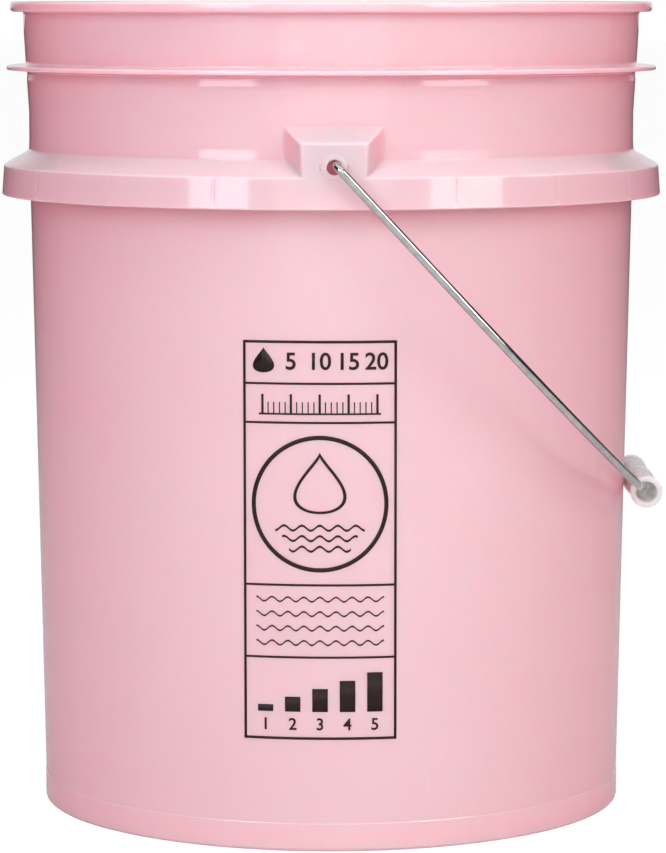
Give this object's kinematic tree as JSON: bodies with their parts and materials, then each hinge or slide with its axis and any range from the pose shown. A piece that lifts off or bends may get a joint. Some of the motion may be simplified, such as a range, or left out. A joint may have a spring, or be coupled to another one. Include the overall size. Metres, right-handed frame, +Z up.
{
  "type": "wash bucket",
  "caption": "Tall round moulded plastic bucket with a lid ring, a shoulder skirt with ears, and a swinging steel wire bail with a loose tube grip.",
  "frame": {"origin": "on the floor, under the middle of the bucket", "axes": "+Z up along the bucket's axis; the ears with the bail's holes face -Y and +Y; the bail hangs down on the +X side"},
  "size_m": [0.3046, 0.3168, 0.3704],
  "materials": {
    "pink_shell": "glossy moulded polyethylene, slightly cloudy",
    "zinc_wire": "bright zinc-coated drawn wire",
    "natural_grip": "natural, slightly translucent polyethylene",
    "black_ink": "black screen print on the wall"
  },
  "bodies": {
    "pail": {"pail": "pink_shell"},
    "bail": {"bail_wire": "zinc_wire"},
    "grip": {"grip": "natural_grip"}
  },
  "joints": [
    {"name": "bail_swing", "type": "hinge", "parent": "pail", "child": "bail", "pos_m": [0.00086, 0, 0.30106], "axis": [0, -1, 0], "range_deg": [0, 273.5]},
    {"name": "grip_spin", "type": "hinge", "parent": "bail", "child": "grip", "pos_m": [0.1441, 0, 0.1469], "axis": [0, 1, 0], "continuous": true}
  ]
}
